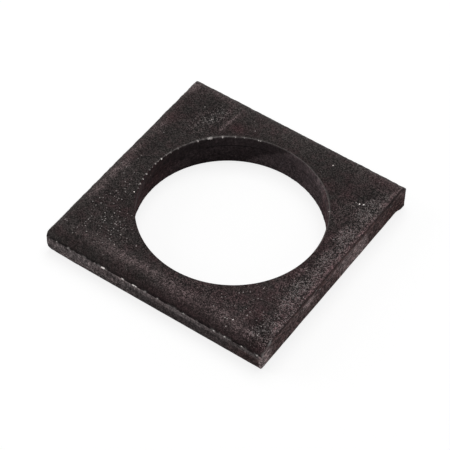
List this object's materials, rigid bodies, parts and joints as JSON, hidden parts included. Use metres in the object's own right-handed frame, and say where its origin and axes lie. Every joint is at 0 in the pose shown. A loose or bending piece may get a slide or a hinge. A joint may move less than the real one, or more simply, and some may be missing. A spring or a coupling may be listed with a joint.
{
  "type": "square plate washer",
  "caption": "Square steel plate washer with sheared edges and a large round punched hole, for spreading the clamping load of a bolt or stud over a wide surface.",
  "frame": {"origin": "middle of the square plate on its under face, the face that it lies on", "axes": "+Z out of the top face, +X to the right side with the sharp top edge, +Y to the back side"},
  "size_m": [0.06, 0.06, 0.008],
  "materials": {
    "mill_scale": "hot-rolled steel under dark grey-brown mill scale, satin"
  },
  "bodies": {
    "root": {"square_washer": "mill_scale"}
  },
  "joints": []
}
